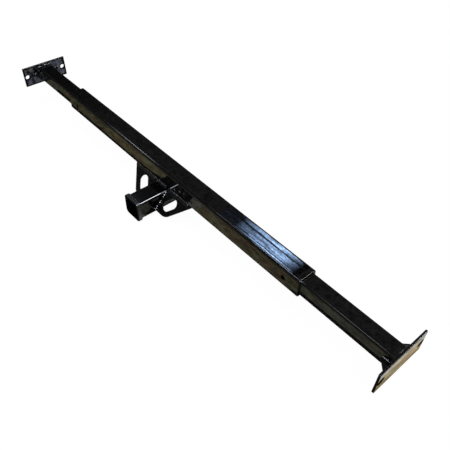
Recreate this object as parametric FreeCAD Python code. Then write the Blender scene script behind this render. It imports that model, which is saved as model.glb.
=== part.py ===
import FreeCAD, Part
import math
import os

# Adjustable-width receiver hitch: a square cross tube with a receiver welded under its middle, and a
# slide tube with a bolt-on end plate telescoping out of each end.
# Frame: origin at the centre of the hitch-pin hole, on the receiver's axis. The receiver's mouth looks
# along -Y, the bar runs along X and +Z is up. All sizes are millimetres.

# Cross tube
cross_tube_size = 63.5
cross_tube_length = 1174.75
cross_tube_corner = 8.0
lock_hole_diameter = 14.3
lock_hole_inset = 54.0

# Slide tubes, and how far each stands out of the cross tube as drawn
slide_tube_size = 50.8
slide_tube_wall = 4.76
slide_tube_length = 558.8
slide_tube_corner = 6.0
slide_tube_bore_corner = 2.0
slide_clearance = 0.35
right_reach = 285.7
left_reach = 264.4

# End plates, set a little low on their tubes
plate_length = 177.8
plate_height = 76.2
plate_thickness = 6.35
plate_drop = 2.4
plate_hole_diameter = 17.5
plate_hole_inset = 13.3

# Gussets between slide tube and end plate
gusset_leg = 29.5
gusset_thickness = 6.35
gusset_nose = 4.0

# Receiver
receiver_size = 63.5
receiver_corner = 8.0
receiver_reach = 120.7
shank_size = 50.8
shank_clearance = 0.4
socket_corner = 3.0
pin_diameter = 15.875
pin_clearance = 0.2
pin_setback = 63.5
collar_wall = 4.76
collar_depth = 14.0
collar_edge = 1.8

# Chain wings, measured down their slope from the corner of the cross tube
wing_slope = 45.0
wing_thickness = 4.76
wing_top_reach = 145.6
wing_foot_reach = 80.2
wing_drop = 77.7
wing_foot_corner = 28.0
slot_width = 34.0
slot_centres = 21.4
slot_margin = 17.2

# Weld beads and broken edges
plate_weld_leg = 6.5
gusset_weld_leg = 4.5
groove_weld_rise = 9.5
groove_weld_run = 6.5
wing_weld_leg = 5.5
wing_weld_stop = 12.0
edge_break = 0.9
tube_end_round = 2.0

# Places that follow from the sizes above
mouth_y = -pin_setback
bar_front_y = mouth_y + receiver_reach
bar_y = bar_front_y + cross_tube_size / 2
bar_back_y = bar_front_y + cross_tube_size
bar_bottom_z = receiver_size / 2
bar_z = bar_bottom_z + cross_tube_size / 2
cross_bore = slide_tube_size + 2 * slide_clearance
cross_bore_corner = slide_tube_corner + slide_clearance
socket_size = shank_size + 2 * shank_clearance
half_bar = cross_tube_length / 2


def point(x, y, z):
    return FreeCAD.Vector(x, y, z)


def cylinder(radius, length, start, direction):
    return Part.makeCylinder(radius, length, start, direction)


def rounded_square(size, corner, x):
    # Wire of a square with round corners, centred on the X axis, in the plane at x.
    half = size / 2
    flat = half - corner
    bulge = flat + corner * math.sqrt(0.5)
    edges = []
    for quarter in range(4):
        side = Part.LineSegment(point(x, half, -flat), point(x, half, flat)).toShape()
        turn = Part.Arc(point(x, half, flat), point(x, bulge, bulge), point(x, flat, half)).toShape()
        for edge in (side, turn):
            edge.rotate(point(x, 0, 0), point(1, 0, 0), 90 * quarter)
            edges.append(edge)
    return Part.Wire(edges)


def square_bar(size, corner, start, length):
    # Solid bar with round corners along +X from start.
    face = Part.Face(rounded_square(size, corner, start))
    return face.extrude(point(length, 0, 0))


def edges_in_plane(shape, axis, value, outside=0.0):
    # Edges that lie wholly in one plane, and reach further from the X axis than outside.
    found = []
    for edge in shape.Edges:
        box = edge.BoundBox
        low = getattr(box, axis + "Min")
        high = getattr(box, axis + "Max")
        reach = max(abs(box.YMin), abs(box.YMax), abs(box.ZMin), abs(box.ZMax))
        if abs(low - value) < 1e-4 and abs(high - value) < 1e-4 and reach > outside:
            found.append(edge)
    return found


def break_tube_ends(tube, ends, bore):
    # Rounds the outer rim at the open ends of a tube.
    rims = []
    for end in ends:
        rims += edges_in_plane(tube, "X", end, bore / 2 + tube_end_round)
    return tube.makeFillet(tube_end_round, rims)


def bar_frame(shape):
    # Moves a shape drawn about the X axis onto the axis of the bar.
    return shape.translated(point(0, bar_y, bar_z))


def cross_tube():
    outside = square_bar(cross_tube_size, cross_tube_corner, -half_bar, cross_tube_length)
    bore = square_bar(cross_bore, cross_bore_corner, -half_bar, cross_tube_length)
    tube = break_tube_ends(outside.cut(bore), (-half_bar, half_bar), cross_bore)
    for side in (-1, 1):
        start = point(side * (half_bar - lock_hole_inset), 0, 0)
        tube = tube.cut(cylinder(lock_hole_diameter / 2, cross_tube_size, start, point(0, -1, 0)))
    return bar_frame(tube)


def slide_tube(side, plate_face):
    # Square tube from the inner face of its end plate back into the cross tube.
    inner_end = plate_face - side * slide_tube_length
    start = min(inner_end, plate_face)
    bore_size = slide_tube_size - 2 * slide_tube_wall
    outside = square_bar(slide_tube_size, slide_tube_corner, start, slide_tube_length)
    bore = square_bar(bore_size, slide_tube_bore_corner, start, slide_tube_length)
    tube = break_tube_ends(outside.cut(bore), (inner_end,), bore_size)
    return bar_frame(tube)


def end_plate(side, plate_face):
    start = plate_face if side > 0 else plate_face - plate_thickness
    corner = point(start, -plate_length / 2, -plate_drop - plate_height / 2)
    plate = Part.makeBox(plate_thickness, plate_length, plate_height, corner)
    plate = plate.makeFillet(edge_break, plate.Edges)
    for end in (-1, 1):
        hole_y = end * (plate_length / 2 - plate_hole_inset)
        hole_start = point(start - plate_thickness, hole_y, -plate_drop)
        hole = cylinder(plate_hole_diameter / 2, 3 * plate_thickness, hole_start, point(1, 0, 0))
        plate = plate.cut(hole)
    return bar_frame(plate)


def gusset(side, plate_face, way):
    # Triangle lying flat at mid-height, with blunt noses, on the tube's front (way -1) or rear side.
    tube_y = way * slide_tube_size / 2
    low = -gusset_thickness / 2
    corners = [
        point(plate_face, tube_y, low),
        point(plate_face - side * gusset_leg, tube_y, low),
        point(plate_face - side * gusset_leg, tube_y + way * gusset_nose, low),
        point(plate_face - side * gusset_nose, tube_y + way * gusset_leg, low),
        point(plate_face, tube_y + way * gusset_leg, low),
    ]
    face = Part.Face(Part.makePolygon(corners + corners[:1]))
    return bar_frame(face.extrude(point(0, 0, gusset_thickness)))


def plate_weld(side, plate_face, way):
    # Half of the fillet bead around the slide tube on its plate: above (way 1) or below the gussets.
    wide_size = slide_tube_size + 2 * plate_weld_leg
    wide = rounded_square(wide_size, slide_tube_corner + plate_weld_leg, plate_face)
    narrow = rounded_square(slide_tube_size, slide_tube_corner, plate_face - side * plate_weld_leg)
    ring = Part.makeLoft([wide, narrow], True, True)
    ring = ring.cut(square_bar(slide_tube_size, slide_tube_corner, plate_face - slide_tube_size,
                               2 * slide_tube_size))
    reach = slide_tube_size
    low = gusset_thickness / 2 if way > 0 else -gusset_thickness / 2 - reach
    half = Part.makeBox(2 * reach, 2 * reach, reach, point(plate_face - reach, -reach, low))
    return bar_frame(ring.common(half))


def fillet_bead(start, along, first_leg, second_leg):
    # Straight bead of triangular section: the two legs are vectors from the corner line.
    face = Part.Face(Part.makePolygon([start, start + first_leg, start + second_leg, start]))
    return face.extrude(along)


def gusset_weld(side, plate_face, way):
    # Beads above and below one gusset, along the tube and along the plate.
    tube_y = way * slide_tube_size / 2
    run = gusset_leg - plate_weld_leg
    beads = []
    for level in (-1, 1):
        z = level * gusset_thickness / 2
        up = point(0, 0, level * gusset_weld_leg)
        out = point(0, way * gusset_weld_leg, 0)
        back = point(-side * gusset_weld_leg, 0, 0)
        tube_start = point(plate_face - side * plate_weld_leg, tube_y, z)
        plate_start = point(plate_face, tube_y + way * plate_weld_leg, z)
        beads.append(fillet_bead(tube_start, point(-side * run, 0, 0), out, up))
        beads.append(fillet_bead(plate_start, point(0, way * run, 0), back, up))
    return bar_frame(Part.makeCompound(beads))


def bar_along_y(size, corner, start, length):
    # Bar with round corners along +Y from start, on the receiver's axis.
    bar = square_bar(size, corner, start, length)
    bar.rotate(point(0, 0, 0), point(0, 0, 1), 90)
    return bar


def receiver_tube():
    length = bar_back_y - mouth_y
    tube = bar_along_y(receiver_size, receiver_corner, mouth_y, length)
    tube = tube.cut(bar_along_y(socket_size, socket_corner, mouth_y, length))
    pin_hole = cylinder(pin_diameter / 2 + pin_clearance, 2 * receiver_size,
                        point(-receiver_size, 0, 0), point(1, 0, 0))
    return tube.cut(pin_hole)


def receiver_collar():
    outer_size = receiver_size + 2 * collar_wall
    band = bar_along_y(outer_size, receiver_corner + collar_wall, mouth_y, collar_depth)
    rims = edges_in_plane(band, "Y", mouth_y) + edges_in_plane(band, "Y", mouth_y + collar_depth)
    band = band.makeFillet(collar_edge, rims)
    return band.cut(bar_along_y(receiver_size, receiver_corner, mouth_y, collar_depth))


def wing_edge():
    # Unit vector down the outer edge of a wing, in the wing's own plane.
    run = wing_foot_reach - wing_top_reach
    length = math.hypot(run, wing_drop)
    return run / length, wing_drop / length


def wing_slot_ends():
    # Centres of the slot's two round ends: one margin in from the outer edge and from the foot.
    edge_x, edge_s = wing_edge()
    inset = slot_margin + slot_width / 2
    low_s = wing_drop - inset
    low_x = wing_top_reach + low_s * edge_x / edge_s - inset / edge_s
    return (low_x, low_s), (low_x - slot_centres * edge_x, low_s - slot_centres * edge_s)


def wing_blank():
    # Flat outline of the right wing with a round foot corner, x outwards and s down the slope as +Y.
    hidden = cross_tube_corner
    edge_x, edge_s = wing_edge()
    top_x = wing_top_reach - hidden * edge_x / edge_s
    outline = Part.makePolygon([
        point(receiver_size / 2, -hidden, 0),
        point(top_x, -hidden, 0),
        point(wing_foot_reach, wing_drop, 0),
        point(receiver_size / 2, wing_drop, 0),
        point(receiver_size / 2, -hidden, 0),
    ])
    blank = Part.Face(outline).extrude(point(0, 0, wing_thickness))
    corner = [edge for edge in blank.Edges if edge_at(edge, wing_foot_reach, wing_drop)]
    blank = blank.makeFillet(wing_foot_corner, corner)
    (low_x, low_s), (high_x, high_s) = wing_slot_ends()
    turn = math.degrees(math.atan2(high_s - low_s, high_x - low_x))
    depth = 3 * wing_thickness
    slot = Part.makeBox(slot_centres, slot_width, depth, point(0, -slot_width / 2, -wing_thickness))
    for end in (0, slot_centres):
        start = point(end, 0, -wing_thickness)
        slot = slot.fuse(cylinder(slot_width / 2, depth, start, point(0, 0, 1)))
    slot.rotate(point(0, 0, 0), point(0, 0, 1), turn)
    slot.translate(point(low_x, low_s, 0))
    return blank.cut(slot)


def edge_at(edge, x, y):
    box = edge.BoundBox
    return box.DiagonalLength <= wing_thickness * 1.001 and abs(box.XMin - x) + abs(box.YMin - y) < 1e-4


def wing_frame(shape):
    # Lays the flat wing on its slope, middle of its thickness through the corner of the cross tube.
    shape = shape.translated(point(0, 0, -wing_thickness / 2))
    shape.rotate(point(0, 0, 0), point(1, 0, 0), 180 + wing_slope)
    return shape.translated(point(0, bar_front_y, bar_bottom_z))


def mirrored(shape):
    return shape.mirror(point(0, 0, 0), point(1, 0, 0))


def prism_along_x(corners, start, length):
    # Solid with a polygon of (y, z) corners as its section, along +X from start.
    points = [point(start, y, z) for y, z in corners]
    return Part.Face(Part.makePolygon(points + points[:1])).extrude(point(length, 0, 0))


def cross_tube_space():
    # The cross tube's outside as a solid bar, to fit neighbours against.
    return bar_frame(square_bar(cross_tube_size, cross_tube_corner, -half_bar, cross_tube_length))


def chain_wing():
    return wing_frame(wing_blank()).cut(cross_tube_space())


def receiver_end_weld(way):
    # Bead that fills the groove between the cross tube's round lower corner and the receiver's top.
    face_y = bar_front_y if way < 0 else bar_back_y
    run = groove_weld_run if way < 0 else 0.0
    width = receiver_size - 2 * receiver_corner
    corners = [
        (face_y + way * run, bar_bottom_z),
        (face_y, bar_bottom_z + groove_weld_rise),
        (face_y - way * cross_tube_corner, bar_bottom_z + groove_weld_rise),
        (face_y - way * cross_tube_corner, bar_bottom_z),
    ]
    return prism_along_x(corners, -width / 2, width).cut(cross_tube_space())


def receiver_side_weld():
    # Bead along the right side, between the receiver's round upper corner and the cross tube's flat bottom.
    half = receiver_size / 2
    length = cross_tube_size - 2 * cross_tube_corner
    start_y = bar_front_y + cross_tube_corner
    section = Part.makePolygon([
        point(half - receiver_corner, start_y, bar_bottom_z),
        point(half, start_y, bar_bottom_z),
        point(half, start_y, bar_bottom_z - receiver_corner),
        point(half - receiver_corner, start_y, bar_bottom_z - receiver_corner),
        point(half - receiver_corner, start_y, bar_bottom_z),
    ])
    bead = Part.Face(section).extrude(point(0, length, 0))
    return bead.cut(bar_along_y(receiver_size, receiver_corner, mouth_y, bar_back_y - mouth_y))


def wing_tube_weld():
    # Bead on the upper side of the right wing, along the cross tube's front lower corner. It stops
    # short of the wing's outer edge.
    slope = math.radians(wing_slope)
    half_thick = wing_thickness / 2
    foot_y = bar_front_y - half_thick * math.sin(slope) - groove_weld_run * math.cos(slope)
    foot_z = bar_bottom_z + half_thick * math.cos(slope) - groove_weld_run * math.sin(slope)
    corners = [
        (foot_y, foot_z),
        (bar_front_y, bar_bottom_z + groove_weld_rise),
        (bar_front_y + cross_tube_corner, bar_bottom_z + groove_weld_rise),
        (bar_front_y + cross_tube_corner, bar_bottom_z),
    ]
    start = receiver_size / 2
    bead = prism_along_x(corners, start, wing_top_reach - wing_weld_stop - start)
    return bead.cut(cross_tube_space()).cut(wing_space())


def wing_space():
    # Everything at and under the upper face of the right wing.
    depth = 2 * cross_tube_size
    slab = Part.makeBox(2 * wing_top_reach, 2 * depth, depth, point(-wing_top_reach / 2, -depth, 0))
    return wing_frame(slab)


def wing_receiver_weld():
    # Bead on the upper side of the right wing, down the receiver's flat side.
    start = groove_weld_run + wing_thickness / 2
    run = wing_drop - start
    bead = fillet_bead(point(receiver_size / 2, start, 0), point(0, run, 0),
                       point(wing_weld_leg, 0, 0), point(0, 0, -wing_weld_leg))
    return wing_frame(bead)


def save(shape, name):
    solids = shape.Solids
    if len(solids) == 1:
        shape = solids[0]
    else:
        shape = Part.makeCompound(solids)
    if not solids or not shape.isValid():
        raise RuntimeError(name + " is not a valid solid")
    shape.exportStep("parts/" + name + ".step")


def main():
    os.makedirs("parts", exist_ok=True)
    save(cross_tube(), "cross_tube")
    save(receiver_tube(), "receiver_tube")
    save(receiver_collar(), "receiver_collar")
    save(receiver_end_weld(-1), "receiver_weld_front")
    save(receiver_end_weld(1), "receiver_weld_rear")
    right_pieces = {
        "chain_wing": chain_wing(),
        "receiver_weld": receiver_side_weld(),
        "wing_tube_weld": wing_tube_weld(),
        "wing_receiver_weld": wing_receiver_weld(),
    }
    for name, shape in right_pieces.items():
        save(shape, name + "_right")
        save(mirrored(shape), name + "_left")
    for word, side, reach in (("left", -1, left_reach), ("right", 1, right_reach)):
        plate_face = side * (half_bar + reach)
        save(slide_tube(side, plate_face), "slide_tube_" + word)
        save(end_plate(side, plate_face), "end_plate_" + word)
        for place, way in (("front", -1), ("rear", 1)):
            save(gusset(side, plate_face, way), "gusset_" + place + "_" + word)
            save(gusset_weld(side, plate_face, way), "gusset_weld_" + place + "_" + word)
        for place, way in (("lower", -1), ("upper", 1)):
            save(plate_weld(side, plate_face, way), "plate_weld_" + place + "_" + word)


main()
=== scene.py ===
import math
import random

import bpy
from mathutils import Euler, Matrix, Vector


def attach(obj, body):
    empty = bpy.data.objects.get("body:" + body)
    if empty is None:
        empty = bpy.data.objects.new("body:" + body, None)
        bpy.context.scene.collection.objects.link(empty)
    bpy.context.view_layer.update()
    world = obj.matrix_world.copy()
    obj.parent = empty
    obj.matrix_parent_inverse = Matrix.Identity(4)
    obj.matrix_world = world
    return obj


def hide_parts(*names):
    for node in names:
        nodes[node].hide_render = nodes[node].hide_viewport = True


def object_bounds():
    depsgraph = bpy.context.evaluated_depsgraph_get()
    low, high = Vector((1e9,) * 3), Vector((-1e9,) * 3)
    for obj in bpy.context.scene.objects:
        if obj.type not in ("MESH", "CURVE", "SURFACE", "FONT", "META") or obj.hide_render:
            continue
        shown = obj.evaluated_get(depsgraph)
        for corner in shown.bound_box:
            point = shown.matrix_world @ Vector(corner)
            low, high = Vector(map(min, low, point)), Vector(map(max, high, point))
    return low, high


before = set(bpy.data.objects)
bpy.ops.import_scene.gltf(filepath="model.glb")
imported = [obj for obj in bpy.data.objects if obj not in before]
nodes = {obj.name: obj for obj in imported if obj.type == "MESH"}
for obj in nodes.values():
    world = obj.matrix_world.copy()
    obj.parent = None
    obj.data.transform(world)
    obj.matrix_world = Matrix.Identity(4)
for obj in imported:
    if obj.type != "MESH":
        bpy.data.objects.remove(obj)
cadBox = [list(corner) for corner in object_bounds()]
bpy.ops.object.select_all(action="DESELECT")
print("frame: hitch loaded,", len(nodes), "CAD nodes")


def addNode(tree, kind, inputs, operation=None):
    # each input is a plain value or another node's output
    node = tree.nodes.new("ShaderNode" + kind)
    if operation:
        node.operation = operation
    for name, value in inputs.items():
        if isinstance(value, bpy.types.NodeSocket):
            tree.links.new(value, node.inputs[name])
        else:
            node.inputs[name].default_value = value
    return node


def objectPlace(tree):
    return addNode(tree, "TexCoord", {}).outputs["Object"]


def stretched(tree, place, scale):
    return addNode(tree, "Mapping", {"Vector": place, "Scale": scale}).outputs["Vector"]


def noise(tree, place, scale, detail=2):
    return addNode(tree, "TexNoise", {"Vector": place, "Scale": scale, "Detail": detail}).outputs["Fac"]


def spread(tree, source, start, end, low=0, high=1):
    limits = {"From Min": start, "From Max": end, "To Min": low, "To Max": high}
    return addNode(tree, "MapRange", {"Value": source, **limits}).outputs["Result"]


def combine(tree, operation, first, second):
    return addNode(tree, "Math", {0: first, 1: second}, operation).outputs["Value"]


# gloss black paint: roll marks along the steel, soft waves, orange peel, cloudy colour and gloss
# roll, wave and peel are bump heights in metres, and grain draws the roll marks out
# holes paint shade: black with no shine in and round each drilled hole, out to the shade radius
paintLooks = {
    "crossPaint": {"light": 0.012, "gloss": (0.012, 0.030), "grain": (0.03, 1, 1),
                   "roll": 0.000006, "wave": 0.000016, "peel": 0.0000010,
                   "holes": ((0.533375, 0.0602, 0.0635), (-0.533375, 0.0602, 0.0635)),
                   "holeSquash": (1, 0.2, 1), "holeShadeRadius": 0.0073},
    "slidePaint": {"light": 0.012, "gloss": (0.012, 0.030), "grain": (0.03, 1, 1),
                   "roll": 0.000006, "wave": 0.000016, "peel": 0.0000010},
    # painted shade: the receiver's brightest colour is a quarter of the tubes' (0.003 against 0.012), which
    # darkens its top
    "receiverPaint": {"light": 0.003, "gloss": (0.05, 0.14), "grain": (1, 0.03, 1),
                      "roll": 0.000020, "wave": 0.000060, "peel": 0.000010},
    "collarPaint": {"light": 0.012, "gloss": (0.40, 0.52), "grain": (1, 1, 1),
                    "roll": 0.000010, "wave": 0.000030, "peel": 0.000006},
    "platePaint": {"light": 0.012, "gloss": (0.03, 0.08), "grain": (1, 0.15, 0.15),
                   "roll": 0.000040, "wave": 0.000080, "peel": 0.000012,
                   "holes": ((0, 0.01335, 0.0611), (0, 0.16455, 0.0611)),
                   "holeSquash": (0, 1, 1), "holeShadeRadius": 0.0125},
    "weldPaint": {"light": 0.010, "gloss": (0.28, 0.42), "grain": (1, 1, 1),
                  "roll": 0.000020, "wave": 0.000030, "peel": 0.000008},
    "lumpPaint": {"light": 0.010, "gloss": (0.05, 0.10), "grain": (1, 1, 1),
                  "roll": 0.000020, "wave": 0.000030, "peel": 0.000008},
}
# fineness of each mark, and what all the paints share
paintGrain = {"gloss": 60, "cloud": 150, "roll": 110, "wave": 40, "peel": 420,
              "glossDetail": 3, "limits": (0.35, 0.65), "ior": 1.5, "shine": 0.5}


def outsideHoleShade(tree, place, look):
    # painted shade mask: 1 on the painted faces, 0 inside each drilled hole and in a ring round it, out to
    # the shade radius
    squash = look["holeSquash"]
    flat = addNode(tree, "VectorMath", {0: place, 1: squash}, "MULTIPLY").outputs["Vector"]
    gaps = []
    for hole in look["holes"]:
        middle = [size * share for size, share in zip(hole, squash)]
        gaps.append(addNode(tree, "VectorMath", {0: flat, 1: middle}, "DISTANCE").outputs["Value"])
    return combine(tree, "GREATER_THAN", combine(tree, "MINIMUM", *gaps), look["holeShadeRadius"])


def paint(name):
    look, limits = paintLooks[name], paintGrain["limits"]
    material = bpy.data.materials.new(name)
    material.use_nodes = True
    tree = material.node_tree
    shader = tree.nodes["Principled BSDF"]
    shader.inputs["IOR"].default_value = paintGrain["ior"]
    flat = objectPlace(tree)
    drawn = stretched(tree, flat, look["grain"])
    gloss = noise(tree, drawn, paintGrain["gloss"], paintGrain["glossDetail"])
    tree.links.new(spread(tree, gloss, *limits, *look["gloss"]), shader.inputs["Roughness"])
    cloud = spread(tree, noise(tree, flat, paintGrain["cloud"]), *limits, 0, look["light"])
    if "holes" in look:
        # painted shade: no base colour and no shine inside the drilled holes and in a ring round each
        unshaded = outsideHoleShade(tree, flat, look)
        cloud = combine(tree, "MULTIPLY", cloud, unshaded)
        shine = combine(tree, "MULTIPLY", unshaded, paintGrain["shine"])
        tree.links.new(shine, shader.inputs["Specular IOR Level"])
    colour = addNode(tree, "CombineColor", {"Red": cloud, "Green": cloud, "Blue": cloud})
    tree.links.new(colour.outputs["Color"], shader.inputs["Base Color"])
    relief = {}
    for mark, place in (("roll", drawn), ("wave", flat), ("peel", flat)):
        height = noise(tree, place, paintGrain[mark])
        bump = addNode(tree, "Bump", {"Distance": look[mark], "Height": height, **relief})
        relief = {"Normal": bump.outputs["Normal"]}  # the next bump lies on this one
    tree.links.new(relief["Normal"], shader.inputs["Normal"])
    return material


paints = {name: paint(name) for name in paintLooks}
shownNodes = {
    "crossPaint": ("cross_tube",),
    "slidePaint": ("slide_tube_left", "slide_tube_right"),
    "receiverPaint": ("receiver_tube",),
    "platePaint": ("end_plate_left", "end_plate_right"),
    "collarPaint": ("receiver_collar",),
}
for look, names in shownNodes.items():
    for name in names:
        nodes[name].data.materials.clear()
        nodes[name].data.materials.append(paints[look])
print("paint: tubes, plates and collar done")


def only(piece):
    bpy.ops.object.select_all(action="DESELECT")
    piece.select_set(True)
    bpy.context.view_layer.objects.active = piece


def clearPick():
    bpy.ops.object.mode_set(mode="EDIT")
    bpy.ops.mesh.select_mode(type="VERT")
    bpy.ops.mesh.select_all(action="DESELECT")
    bpy.ops.object.mode_set(mode="OBJECT")


def fixPlace():
    bpy.ops.object.transform_apply(location=True, rotation=True, scale=True)


def addPlane(name, middle, size, turn=(0, 0, 0)):
    bpy.ops.mesh.primitive_plane_add(size=1, location=middle, rotation=turn)
    plane = bpy.context.object
    plane.name = name
    plane.scale = (*size, 1)
    fixPlace()
    return plane


def facesOut():
    # from edit mode back to object mode
    bpy.ops.mesh.select_all(action="SELECT")
    bpy.ops.mesh.normals_make_consistent(inside=False)
    bpy.ops.object.mode_set(mode="OBJECT")


def thicken(depth):
    # the flat outline in edit mode becomes a plate below it
    bpy.ops.mesh.select_all(action="SELECT")
    bpy.ops.mesh.extrude_region_move(TRANSFORM_OT_translate={"value": (0, 0, -depth)})
    facesOut()


def applyModifier(piece, kind, **settings):
    modifier = piece.modifiers.new(kind.lower(), kind)
    for key, value in settings.items():
        setattr(modifier, key, value)
    bpy.ops.object.modifier_apply(modifier=modifier.name)


softEdge = {"steps": 3, "sharpFrom": 40, "smoothTo": 12}  # angles in degrees


def softenEdges(piece, width):
    only(piece)
    applyModifier(piece, "BEVEL", width=width, segments=softEdge["steps"], limit_method="ANGLE",
                  angle_limit=math.radians(softEdge["sharpFrom"]))
    bpy.ops.object.shade_smooth_by_angle(angle=math.radians(softEdge["smoothTo"]))


def copyPiece(piece, name, mirror, shift=(0, 0, 0)):
    only(piece)
    bpy.ops.object.duplicate()
    copy = bpy.context.object
    copy.name = name
    copy.scale = mirror
    copy.location = shift
    fixPlace()
    bpy.ops.object.mode_set(mode="EDIT")
    facesOut()
    return copy


def dress(piece, body, look, node):
    piece.data.materials.clear()
    piece.data.materials.append(paints[look])
    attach(piece, body)
    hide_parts(node)


# safety-chain wings: drawn flat, x outwards and y down the slope, then turned over and tilted under the bar
wing = {
    "inner": 0.03175, "top": -0.0031, "topReach": 0.1482, "footReach": 0.0802, "foot": 0.0777,
    "footCut": 0.0130, "footSteps": 14, "thick": 0.00476, "slope": 45.0, "hinge": (0, 0.0572, 0.03175),
    "slotRadius": 0.0170, "slotSteps": 96, "slotLow": (0.06428, 0.0435), "slotRun": 0.0214,
    "slotDepth": 0.01904, "onLine": 0.000001, "soft": 0.0008,
}


def cutSlot(piece, edge):
    # the cutter is a cylinder pulled out along the wing's outer edge
    low = Vector((*wing["slotLow"], 0))
    bpy.ops.mesh.primitive_cylinder_add(
        vertices=wing["slotSteps"], radius=wing["slotRadius"], depth=wing["slotDepth"], location=low)
    cutter = bpy.context.object
    fixPlace()
    clearPick()
    for corner in cutter.data.vertices:
        corner.select = (corner.co - low).dot(edge) < -wing["onLine"]
    bpy.ops.object.mode_set(mode="EDIT")
    bpy.ops.transform.translate(value=-edge * wing["slotRun"])
    bpy.ops.object.mode_set(mode="OBJECT")
    only(piece)
    applyModifier(piece, "BOOLEAN", operation="DIFFERENCE", object=cutter, solver="EXACT")
    bpy.data.objects.remove(cutter)


def makeWings():
    reach, fall = wing["topReach"] - wing["inner"], wing["foot"] - wing["top"]
    lean = wing["footReach"] - wing["topReach"]
    middle = ((wing["inner"] + wing["topReach"]) / 2, (wing["top"] + wing["foot"]) / 2, wing["thick"] / 2)
    piece = addPlane("chainWingRight", middle, (reach, fall))
    clearPick()
    for corner in piece.data.vertices:
        corner.select = corner.co.x > middle[0] and corner.co.y > middle[1]
    bpy.ops.object.mode_set(mode="EDIT")
    bpy.ops.transform.translate(value=(lean, 0, 0))
    bpy.ops.mesh.bevel(offset=wing["footCut"], segments=wing["footSteps"], affect="VERTICES")
    thicken(wing["thick"])
    cutSlot(piece, Vector((lean, fall, 0)).normalized())
    softenEdges(piece, wing["soft"])
    piece.rotation_euler = (math.radians(180 + wing["slope"]), 0, 0)
    piece.location = wing["hinge"]
    fixPlace()
    left = copyPiece(piece, "chainWingLeft", (-1, 1, 1))
    dress(piece, "crossbar", "platePaint", "chain_wing_right")
    dress(left, "crossbar", "platePaint", "chain_wing_left")


makeWings()
print("wings: done")


# where the slide tubes run and their end plates stand
slide = {"axis": (0.08895, 0.0635), "tubeHalf": 0.0254, "tubeCorner": 0.006,
         "plateFace": {"right": 0.873075, "left": -0.851775}}
# gussets at mid-height of the slide tubes, against the end plates
gusset = {"leg": 0.0295, "nose": 0.004, "thick": 0.00635, "soft": 0.0007}


def mirrored(place, side, level="upper"):
    # scale and shift that take a piece at the right front (or upper) to another corner
    barY, barZ = slide["axis"]
    face = slide["plateFace"]
    scale = (1 if side == "right" else -1, 1 if place == "front" else -1, 1 if level == "upper" else -1)
    shift = (face[side] - scale[0] * face["right"], barY * (1 - scale[1]), barZ * (1 - scale[2]))
    return scale, shift


def makeGussets():
    barY, barZ = slide["axis"]
    face, leg = slide["plateFace"]["right"], gusset["leg"]
    tubeFront = barY - slide["tubeHalf"]
    middle = (face - leg / 2, tubeFront - leg / 2, barZ + gusset["thick"] / 2)
    first = addPlane("gussetFrontRight", middle, (leg, leg))
    bpy.ops.object.mode_set(mode="EDIT")
    bpy.ops.mesh.select_all(action="SELECT")
    # trim to a triangle with blunt noses
    bpy.ops.mesh.bisect(plane_co=(face - leg, tubeFront - gusset["nose"], barZ), plane_no=(-1, -1, 0),
                        use_fill=False, clear_outer=True)
    thicken(gusset["thick"])
    softenEdges(first, gusset["soft"])
    pieces = [("front", "right", first)]
    for place, side in (("rear", "right"), ("front", "left"), ("rear", "left")):
        name = "gusset" + place.title() + side.title()
        pieces.append((place, side, copyPiece(first, name, *mirrored(place, side))))
    for place, side, piece in pieces:
        dress(piece, side + "_slide", "platePaint", "gusset_" + place + "_" + side)


makeGussets()
print("gussets: done")


# weld beads: overlapping puddles laid along each joint, melted together by a fine remesh
bead = {
    "pitch": 0.0042, "lean": 26.0, "thin": 0.60, "facets": (14, 9), "start": 0.001, "startFacets": (8, 6),
    "wander": 0.10, "jog": 0.0006, "endSize": 0.85, "luck": 11,
    "filletWide": 0.9, "filletHigh": 0.4, "lumpWide": 0.9, "lumpHigh": 1.6, "lumpLift": 0.5,
    "melt": 0.0006, "smooth": 0.5, "smoothTimes": 3,
}
chance = random.Random(bead["luck"])


def straightRun(start, end, out, half, close=1):
    count = max(2, round(close * (end - start).length / bead["pitch"]))
    run = []
    for step in range(count):
        run.append((start.lerp(end, (step + 0.5) / count), end - start, out, half))
    return run


def filletHalf(leg):
    return leg * bead["filletWide"], leg * bead["filletHigh"]


def filletRun(corner, end, firstLeg, secondLeg, close=1):
    # fills a square corner between two faces; the legs point along the faces
    out = (firstLeg + secondLeg).normalized()
    leg = firstLeg.length
    rise = out * leg * bead["filletHigh"]
    return straightRun(Vector(corner) + rise, Vector(end) + rise, out, filletHalf(leg), close)


def puddle(place, along, out, half, size):
    along, out = along.normalized(), out.normalized()
    turn = Matrix((along, out.cross(along).normalized(), out)).transposed()
    turn = turn @ Matrix.Rotation(math.radians(bead["lean"]), 3, "Y")
    halfWidth, halfHeight = half
    segments, rings = bead["facets"]
    bpy.ops.mesh.primitive_uv_sphere_add(
        segments=segments, ring_count=rings, radius=1, location=place, rotation=turn.to_euler(),
        scale=(halfWidth * bead["thin"] * size, halfWidth * size, halfHeight * size))


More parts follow.
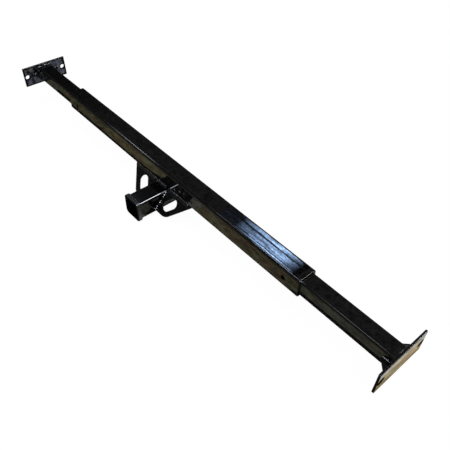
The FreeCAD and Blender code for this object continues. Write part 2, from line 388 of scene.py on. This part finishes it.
def layBead(name, runs, lumps=()):
    bpy.ops.object.select_all(action="DESELECT")
    segments, rings = bead["startFacets"]
    bpy.ops.mesh.primitive_uv_sphere_add(
        segments=segments, ring_count=rings, radius=bead["start"], location=runs[0][0][0])
    piece = bpy.context.object
    piece.name = name
    fixPlace()
    bpy.ops.object.mode_set(mode="EDIT")
    for run in runs:
        for number, (place, along, out, half) in enumerate(run):
            size = 1 + chance.uniform(-bead["wander"], bead["wander"])
            if number in (0, len(run) - 1):
                size *= bead["endSize"]
            jog = along.normalized() * chance.uniform(-bead["jog"], bead["jog"])
            puddle(place + jog, along, out, half, size)
    # a few proud lumps where the welder paused
    for share, size in lumps:
        place, along, out, (halfWidth, halfHeight) = runs[0][int(share * len(runs[0]))]
        proud = place + out.normalized() * halfHeight * bead["lumpLift"]
        puddle(proud, along, out, (halfWidth * bead["lumpWide"], halfHeight * bead["lumpHigh"]), size)
    bpy.ops.object.mode_set(mode="OBJECT")
    only(piece)
    applyModifier(piece, "REMESH", mode="VOXEL", voxel_size=bead["melt"])
    applyModifier(piece, "SMOOTH", factor=bead["smooth"], iterations=bead["smoothTimes"])
    bpy.ops.object.shade_smooth()
    return piece


def finishBead(piece, body, node):
    look = "lumpPaint" if node.startswith("wing_receiver") or body == "left_slide" else "weldPaint"
    dress(piece, body, look, node)


# each bead's half width and height, and how deep its middle sinks into the joint
barWeld = {
    "barBack": 0.1207, "corner": 0.008, "rise": 0.0095, "run": 0.0065, "wingEnd": 0.1336, "wingLeg": 0.0055,
    "front": {"half": (0.0060, 0.0043), "sink": 0.0026, "lumps": ((0.03, 1.0), (0.97, 1.0))},
    "rear": {"half": (0.0046, 0.0034), "sink": 0.0026},
    "under": {"half": (0.0042, 0.0028), "sink": 0.0022},
    "wingTop": {"half": (0.0068, 0.0036), "sink": 0.0016},
    "wingSide": {"close": 2, "lumps": ((0.15, 2.2), (0.56, 2.2), (0.93, 1.6))},
}


def layBarWelds():
    half, back = wing["inner"], barWeld["barBack"]
    front, bottom = wing["hinge"][1:]
    rise, run, corner = barWeld["rise"], barWeld["run"], barWeld["corner"]
    flat = Vector((half - corner, 0, 0))
    # receiver to the bar's front and rear
    look = barWeld["front"]
    out = Vector((0, -rise, run)).normalized()
    seat = Vector((0, front - run / 2, bottom + rise / 2)) - out * look["sink"]
    puddles = straightRun(seat - flat, seat + flat, out, look["half"])
    finishBead(layBead("receiverWeldFront", [puddles], look["lumps"]), "crossbar", "receiver_weld_front")
    look = barWeld["rear"]
    out = Vector((0, 1, 0))
    seat = Vector((0, back - look["sink"], bottom + rise / 2))
    puddles = straightRun(seat - flat, seat + flat, out, look["half"])
    finishBead(layBead("receiverWeldRear", [puddles]), "crossbar", "receiver_weld_rear")
    # under the bar along the receiver's sides
    look = barWeld["under"]
    out = Vector((1, 0, 0))
    seat = Vector((half - look["sink"], 0, bottom - corner / 2))
    start, end = seat + Vector((0, front + corner, 0)), seat + Vector((0, back - corner, 0))
    underWeld = layBead("receiverWeldRight", [straightRun(start, end, out, look["half"])])
    # each wing to the bar, in the open corner above it
    look = barWeld["wingTop"]
    slope = Vector((0, -1, -1)).normalized()  # down the wing
    lift = Vector((0, -1, 1)).normalized()  # off its upper face
    face = Vector((0, front, bottom)) + lift * wing["thick"] / 2
    foot, top = face + slope * run, Vector((0, front, bottom + rise))
    out = Vector((0, -(top - foot).z, (top - foot).y)).normalized()
    seat = (foot + top) / 2 - out * look["sink"]
    start, end = seat + Vector((half, 0, 0)), seat + Vector((barWeld["wingEnd"], 0, 0))
    wingWeld = layBead("wingTubeWeldRight", [straightRun(start, end, out, look["half"])])
    # each wing to the receiver's side
    look, leg = barWeld["wingSide"], barWeld["wingLeg"]
    side = Vector((half, 0, 0))
    start, end = face + slope * (run + wing["thick"] / 2) + side, face + slope * wing["foot"] + side
    puddles = filletRun(start, end, Vector((leg, 0, 0)), lift * leg, look["close"])
    sideWeld = layBead("wingReceiverWeldRight", [puddles], look["lumps"])
    pairs = ((underWeld, "receiver_weld"), (wingWeld, "wing_tube_weld"), (sideWeld, "wing_receiver_weld"))
    for right, node in pairs:
        left = copyPiece(right, right.name.replace("Right", "Left"), (-1, 1, 1))
        finishBead(right, "crossbar", node + "_right")
        finishBead(left, "crossbar", node + "_left")


layBarWelds()
print("bar welds: done")


# the ring round each tube on its plate, and the beads along the gussets; lumps give place and size
slideWeld = {"plateLeg": 0.0065, "gussetLeg": 0.0045, "cornerSteps": 3,
             "lumps": ((0.12, 1.1), (0.40, 1.5), (0.50, 1.6), (0.85, 1.1))}


def cornerArc(middle, firstAngle):
    # (y, z, normal angle) round an upper corner of the tube
    corner, steps = slide["tubeCorner"], slideWeld["cornerSteps"]
    flat = slide["tubeHalf"] - corner
    arc = []
    for step in range(steps):
        angle = firstAngle - 90 * (step + 0.5) / steps
        turn = math.radians(angle)
        arc.append((middle + corner * math.cos(turn), flat + corner * math.sin(turn), angle))
    return arc


def ringRun():
    # up the tube's front, over its top and down its rear, against the right plate
    barY, barZ = slide["axis"]
    face, half, leg = slide["plateFace"]["right"], slide["tubeHalf"], slideWeld["plateLeg"]
    flat, low = half - slide["tubeCorner"], gusset["thick"] / 2
    sideSteps = round((flat - low) / bead["pitch"])
    rise = [low + (flat - low) * (step + 0.5) / sideSteps for step in range(sideSteps)]
    topSteps = round(2 * flat / bead["pitch"])
    path = [(-half, z, 180) for z in rise] + cornerArc(-flat, 180)
    path += [(-flat + 2 * flat * (step + 0.5) / topSteps, half, 90) for step in range(topSteps)]
    path += cornerArc(flat, 90) + [(half, z, 0) for z in reversed(rise)]
    run = []
    for y, z, angle in path:
        turn = math.radians(angle)
        away = Vector((0, math.cos(turn), math.sin(turn)))
        out = (away + Vector((-1, 0, 0))).normalized()
        along = Vector((0, math.sin(turn), -math.cos(turn)))
        seat = Vector((face, barY + y, barZ + z)) + out * leg * bead["filletHigh"]
        run.append((seat, along, out, filletHalf(leg)))
    return run


def laySlideWelds():
    barY, barZ = slide["axis"]
    face, plateLeg, leg = slide["plateFace"]["right"], slideWeld["plateLeg"], slideWeld["gussetLeg"]
    tubeFront, reach = barY - slide["tubeHalf"], gusset["leg"]
    ring = layBead("plateWeldUpperRight", [ringRun()], slideWeld["lumps"])
    # both sides of the front gusset, along the tube and along the plate
    runs = []
    for way in (1, -1):
        z = barZ + way * gusset["thick"] / 2
        up, ahead, inward = Vector((0, 0, way * leg)), Vector((0, -leg, 0)), Vector((-leg, 0, 0))
        runs.append(filletRun((face - plateLeg, tubeFront, z), (face - reach, tubeFront, z), ahead, up))
        runs.append(filletRun((face, tubeFront - plateLeg, z), (face, tubeFront - reach, z), inward, up))
    stay = layBead("gussetWeldFrontRight", runs)
    beads = [("plate_weld_upper_right", ring), ("gusset_weld_front_right", stay)]
    for level, side in (("lower", "right"), ("upper", "left"), ("lower", "left")):
        copy = copyPiece(ring, "plateWeld" + level.title() + side.title(), *mirrored("front", side, level))
        beads.append(("plate_weld_" + level + "_" + side, copy))
    for place, side in (("rear", "right"), ("front", "left"), ("rear", "left")):
        copy = copyPiece(stay, "gussetWeld" + place.title() + side.title(), *mirrored(place, side))
        beads.append(("gusset_weld_" + place + "_" + side, copy))
    for node, piece in beads:
        finishBead(piece, node.rsplit("_", 1)[1] + "_slide", node)


laySlideWelds()
print("slide welds: done")


# pale sheet lit through itself and a little from above, so that shadows stay faint
floorLook = {"size": 30.0, "pale": (0.14, 0.14, 0.14, 1), "rough": 0.9, "through": 0.96}


def makeFloor():
    bpy.ops.mesh.primitive_plane_add(size=floorLook["size"], location=(0, 0, cadBox[0][2]))
    floor = bpy.context.object
    floor.name = "floor"
    material = bpy.data.materials.new("floorSheet")
    material.use_nodes = True
    shader = material.node_tree.nodes["Principled BSDF"]
    shader.inputs["Base Color"].default_value = floorLook["pale"]
    shader.inputs["Roughness"].default_value = floorLook["rough"]
    shader.inputs["Specular IOR Level"].default_value = 0
    shader.inputs["Emission Color"].default_value = (1, 1, 1, 1)
    shader.inputs["Emission Strength"].default_value = floorLook["through"]
    floor.data.materials.append(material)


makeFloor()


# white behind the hitch, and a dim room for the paint to mirror
roomLook = {"seen": (0.95, 0.95, 0.95, 1), "mirrored": (0.062, 0.063, 0.070, 1)}


def makeRoom():
    world = bpy.data.worlds.new("studio")
    bpy.context.scene.world = world
    world.use_nodes = True
    tree = world.node_tree
    background = tree.nodes["Background"]
    path = tree.nodes.new("ShaderNodeLightPath")
    mix = tree.nodes.new("ShaderNodeMix")
    mix.data_type = "RGBA"
    mix.inputs["A"].default_value = roomLook["mirrored"]
    mix.inputs["B"].default_value = roomLook["seen"]
    tree.links.new(path.outputs["Is Camera Ray"], mix.inputs["Factor"])
    tree.links.new(mix.outputs["Result"], background.inputs["Color"])


makeRoom()


# a wide soft lamp overhead, which the paint doesn't mirror
softLight = {"place": (0, 0, 3.6), "size": 7.0, "power": 100}


def makeLight():
    bpy.ops.object.light_add(type="AREA", location=softLight["place"])
    lamp = bpy.context.object
    lamp.name = "softTop"
    lamp.data.size = softLight["size"]
    lamp.data.energy = softLight["power"]
    lamp.visible_glossy = False
    lamp.visible_camera = False


makeLight()
print("stage: floor, room and light done")


faceDown, onEdge = (math.pi, 0, 0), (0, -math.pi / 2, 0)
mottleLimits = (0.36, 0.64)


def addSheet(name, x, y, level, turn=(0, 0, 0)):
    return addPlane(name, (sum(x) / 2, sum(y) / 2, level), (x[1] - x[0], y[1] - y[0]), turn)


def glowTree(sheet):
    # only the gloss paint mirrors the sheet
    sheet.visible_camera = sheet.visible_diffuse = sheet.visible_shadow = False
    material = bpy.data.materials.new(sheet.name + "Glow")
    material.use_nodes = True
    sheet.data.materials.append(material)
    tree = material.node_tree
    tree.nodes.remove(tree.nodes["Principled BSDF"])
    return tree


def setGlow(tree, tint, strength):
    glow = addNode(tree, "Emission", {"Color": tint, "Strength": strength})
    tree.links.new(glow.outputs["Emission"], tree.nodes["Material Output"].inputs["Surface"])


def mottle(tree, place, scale, detail, depth, middle=1):
    # wanders above and below its middle
    cloud = noise(tree, place, scale, detail)
    return spread(tree, cloud, *mottleLimits, middle * (1 - depth), middle * (1 + depth))


def alongBar(tree, place):
    return addNode(tree, "SeparateXYZ", {"Vector": place}).outputs["X"]


# studio cards that only the gloss paint mirrors: on the floor facing up, overhead facing down, or on edge
# blotch, fine and smear are the depth, fineness and stretch of their mottle, and fade dims the two ends
cardUsual = {"lift": 0, "slant": (0, 0), "smear": (1, 1, 1), "blotch": 0.1, "fine": 75}
cardGrain = {"detail": 3, "hue": 35, "hueStops": (0.4, 0.6)}
tanSheet = {"lift": 0.0006, "smear": (0.5, 1, 1), "tints": ((1, 0.80, 0.45), (0.90, 0.92, 0.55)),
            "glow": 0.45, "blotch": 0.4, "fine": 30}
tanSide = {"lift": 0.0005, "smear": (1, 0.5, 1), "tints": ((1, 0.84, 0.58), (0.90, 0.94, 0.70)),
           "glow": 0.45, "blotch": 0.4, "fine": 30}
tanStrip = {"lift": 0.0008, "smear": (0.5, 1.6, 1)}
creamStrip = {"lift": 0.0008, "smear": (2.5, 0.2, 1), "blotch": 0.3, "fine": 130}
skyTints = ((0.66, 0.76, 1), (0.82, 0.88, 1))
cards = {
    "darkCloth": {"x": (-4, 4), "y": (-4, 4), "lift": 0.0004, "glow": 0.012},
    "tanBehind": {"x": (-0.50, 0.87), "y": (0.14, 0.90), **tanSheet},
    "tanBehindLeft": {"x": (-1.30, -0.50), "y": (0.34, 0.90), **tanSheet},
    "tanBefore": {"x": (-1.30, 1.30), "y": (-0.90, -0.17), **tanSheet},
    "tanFarSide": {"x": (-2.20, -1.10), "y": (-0.50, 0.70), **tanSide},
    "tanNearSide": {"x": (0.95, 2.20), "y": (-0.50, 0.70), **tanSide},
    "tanLeft": {"x": (-0.88, -0.48), "y": (-0.034, -0.001), **tanStrip,
                "tints": ((1, 0.80, 0.42), (0.88, 0.90, 0.46)), "glow": 0.19, "blotch": 0.45},
    "tanMiddleLeft": {"x": (-0.48, -0.26), "y": (-0.034, 0.001), **tanStrip,
                      "tints": ((1, 0.74, 0.36), (0.90, 0.88, 0.42)), "glow": 0.28, "blotch": 0.45},
    "tanNearLeft": {"x": (-0.26, -0.065), "y": (-0.034, 0.001), **tanStrip,
                    "tints": ((1, 0.80, 0.45), (0.92, 0.92, 0.48)), "glow": 0.35, "blotch": 0.35},
    "tanMiddleRight": {"x": (0.105, 0.53), "y": (-0.034, 0.007), **tanStrip,
                       "tints": ((1, 0.74, 0.42), (0.92, 0.90, 0.50)), "glow": 0.33, "blotch": 0.4},
    "tanRight": {"x": (0.53, 0.88), "y": (-0.034, 0.002), **tanStrip,
                 "tints": ((1, 0.90, 0.63), (0.90, 1, 0.72)), "glow": 0.29, "blotch": 0.4},
    "tanMiddle": {"x": (0.053, 0.150), "y": (-0.034, 0.007), "slant": (0.5, 0), "lift": 0.0007,
                  "tints": ((0.97, 0.92, 0.78), (0.92, 0.97, 0.86)), "glow": 0.31, "blotch": 0.4},
    "greyMiddle": {"x": (0.030, 0.105), "y": (0.007, 0.100), "lift": 0.0008,
                   "tints": ((1, 0.98, 0.95), (0.95, 1, 1)), "glow": 0.30, "blotch": 0.6},
    "greyCollar": {"x": (0.038, 0.110), "y": (-0.066, -0.034), "lift": 0.0008,
                   "tints": ((1, 1, 0.98), (0.95, 1, 1)), "glow": 1.0, "blotch": 0.4},
    "creamLow": {"x": (0.883, 0.8955), "y": (0.0, 0.32), **creamStrip,
                 "tints": ((1, 0.74, 0.38), (0.92, 0.88, 0.46)), "glow": 0.60},
    "creamMiddle": {"x": (0.8955, 0.9005), "y": (0.0, 0.33), **creamStrip,
                    "tints": ((1, 0.78, 0.48), (0.94, 0.92, 0.60)), "glow": 0.82},
    "creamHigh": {"x": (0.9005, 0.9052), "y": (0.0, 0.34), **creamStrip,
                  "tints": ((1, 0.86, 0.68), (0.95, 0.95, 0.82)), "glow": 1.12},
    "coolLeft": {"x": (-0.733, -0.600), "y": (0.105, 0.245), "slant": (0, 0.375), "lift": 0.0008,
                 "tints": ((0.60, 0.70, 1), (0.82, 0.84, 1)), "glow": 1.75, "blotch": 1.0, "fine": 90},
    "coolOnEdge": {"edge": -0.80, "y": (0.0235, 0.06), "z": (0, 0.068),
                   "tints": ((1, 0.94, 0.90), (0.72, 0.80, 1)), "glow": 1.0, "blotch": 1.0, "fine": 70},
    "darkOnEdge": {"edge": -0.7995, "y": (-0.01, 0.06), "z": (0, 0.085), "glow": 0.012},
    "tanOnEdge": {"edge": -0.799, "y": (-0.01, 0.06), "z": (0, 0.050),
                  "tints": ((1, 0.84, 0.62), (0.94, 0.93, 0.72)), "glow": 0.155, "blotch": 0.3},
    "lineLeft": {"x": (-1.95, -1.28), "y": (-0.20, 0.02), "level": 1.50, "glow": 14, "fade": (0.35, 0.2)},
    "lineMiddle": {"x": (-1.06, -0.58), "y": (-0.20, 0.02), "level": 1.90, "glow": 5, "fade": (0.15, 0.1)},
    "lineRight": {"x": (-0.10, 0.60), "y": (-0.225, 0.025), "level": 1.90, "glow": 7, "fade": (0.3, 0.15)},
    "lineBack": {"x": (0.60, 1.70), "y": (0.70, 1.15), "level": 1.95,
                 "tints": ((0.86, 0.93, 1), (0.94, 0.97, 1)), "glow": 36, "fade": (0.25, 0.1)},
    "lineEnd": {"x": (0.82, 1.30), "y": (1.20, 1.50), "level": 1.95, "glow": 18},
    "lineWindow": {"x": (-0.60, -0.08), "y": (-0.20, 0.02), "level": 1.90,
                   "tints": skyTints, "glow": 20, "fade": (0.05, 0.15)},
    "lineWeld": {"x": (0.90, 1.50), "y": (1.55, 1.95), "level": 1.95, "tints": skyTints, "glow": 70},
    "lineFront": {"x": (0.80, 2.00), "y": (-1.40, -0.90), "level": 1.95,
                  "tints": ((0.80, 0.86, 1), (0.92, 0.95, 1)), "glow": 90},
    "greyHigh": {"x": (-2.70, -1.30), "y": (0.70, 0.985), "level": 1.95, "glow": 0.42},
}


def placeCard(name, look):
    if "edge" in look:
        y, z = look["y"], look["z"]
        middle = (look["edge"], sum(y) / 2, sum(z) / 2)
        return addPlane(name, middle, (z[1] - z[0], y[1] - y[0]), onEdge)
    x, y = look["x"], look["y"]
    if "level" in look:
        return addSheet(name, x, y, look["level"], faceDown)
    card = addSheet(name, x, y, cadBox[0][2] + look["lift"])
    leanX, leanY = look["slant"]
    for corner in card.data.vertices:
        awayX, awayY = corner.co.x - sum(x) / 2, corner.co.y - sum(y) / 2
        corner.co += Vector((leanX * awayY, leanY * awayX, 0))
    return card


def makeCard(name, look):
    tree = glowTree(placeCard(name, look))
    place = objectPlace(tree)
    smeared = stretched(tree, place, look["smear"])
    tint = (1, 1, 1, 1)
    if "tints" in look:
        shades = addNode(tree, "ValToRGB", {"Fac": noise(tree, smeared, cardGrain["hue"])})
        stops = shades.color_ramp.elements
        for stop, position, colour in zip(stops, cardGrain["hueStops"], look["tints"]):
            stop.position = position
            stop.color = (*colour, 1)
        tint = shades.outputs["Color"]
    strength = mottle(tree, smeared, look["fine"], cardGrain["detail"], look["blotch"], look["glow"])
    if "fade" in look:
        # dim towards both ends
        (left, right), (leftFade, rightFade) = look["x"], look["fade"]
        across = alongBar(tree, place)
        for tip, full in ((left, left + leftFade), (right, right - rightFade)):
            strength = combine(tree, "MULTIPLY", strength, spread(tree, across, tip, full))
    setGlow(tree, tint, strength)


for name, look in cards.items():
    makeCard(name, {**cardUsual, **look})


# dim ceiling mirrored along the bar's top, darker towards the far end
ceiling = {"x": (-6.5, 1.4), "y": (1.46, 6.0), "level": 2.2, "tint": (1, 1.01, 1.06, 1),
           "streak": 0.35, "streakScale": 22, "streakDetail": 2,
           "shades": ((-4.9, 0.004), (-3.9, 0.024), (-3.2, 0.060), (-2.0, 0.080), (0.0, 0.12))}


def makeCeiling():
    left, right = ceiling["x"]
    tree = glowTree(addSheet("ceiling", ceiling["x"], ceiling["y"], ceiling["level"], faceDown))
    place = objectPlace(tree)
    curve = addNode(tree, "ValToRGB", {"Fac": spread(tree, alongBar(tree, place), left, right)})
    stops = curve.color_ramp.elements
    while len(stops) < len(ceiling["shades"]):
        stops.new(0.5)  # moved to its place below
    for stop, (x, shade) in zip(stops, ceiling["shades"]):
        stop.position = (x - left) / (right - left)
        stop.color = (shade, shade, shade, 1)
    streaks = mottle(tree, place, ceiling["streakScale"], ceiling["streakDetail"], ceiling["streak"])
    setGlow(tree, ceiling["tint"], combine(tree, "MULTIPLY", curve.outputs["Color"], streaks))


makeCeiling()


# a cool window with bars, mirrored in the top of the cross tube
# it brightens over rise, from the left, and dies away over fall
window = {"x": (-1.22, -0.36), "level": 1.95, "rise": (-1.05, -0.64), "fall": (-0.61, -0.40), "least": 0.2,
          "panes": ((1.28, 1.369, 17.8), (1.380, 1.441, 14.0), (1.457, 1.60, 18.0)),  # front, back, bright
          "streaks": {"draw": (0.06, 1, 1), "scale": 85, "detail": 3, "depth": 0.7},
          "spots": {"draw": (0.5, 1, 1), "scale": 110, "detail": 2, "depth": 0.45},
          "tint": (0.44, 0.67, 1.08, 1)}


def makePane(name, front, back, bright):
    tree = glowTree(addSheet(name, window["x"], (front, back), window["level"], faceDown))
    place = objectPlace(tree)
    across = alongBar(tree, place)
    rise = spread(tree, across, *window["rise"], window["least"], bright)
    strength = combine(tree, "MULTIPLY", rise, spread(tree, across, *window["fall"], 1, 0))
    # streaks and spots, as through old glass
    for wear in (window["streaks"], window["spots"]):
        drawn = stretched(tree, place, wear["draw"])
        worn = mottle(tree, drawn, wear["scale"], wear["detail"], wear["depth"])
        strength = combine(tree, "MULTIPLY", strength, worn)
    setGlow(tree, window["tint"], strength)


for number, pane in enumerate(window["panes"], 1):
    makePane("windowPane" + str(number), *pane)
print("stage: cards, ceiling and window done")


# in metres, degrees and millimetres of lens
camera = {"place": (1.06973, -0.62650, 1.08866), "azimuth": 48.26, "elevation": 44.47, "roll": 1.42,
          "lens": 40.98, "sensor": 36}


def makeCamera():
    turn = Euler((math.radians(90 - camera["elevation"]), 0, math.radians(camera["azimuth"])))
    view = turn.to_matrix() @ Matrix.Rotation(math.radians(camera["roll"]), 3, "Z")
    bpy.ops.object.camera_add(location=camera["place"], rotation=view.to_euler())
    eye = bpy.context.object
    eye.data.lens = camera["lens"]
    eye.data.sensor_width = camera["sensor"]
    bpy.context.scene.camera = eye
    bpy.context.scene.view_settings.view_transform = "Standard"


makeCamera()
print("camera: done")
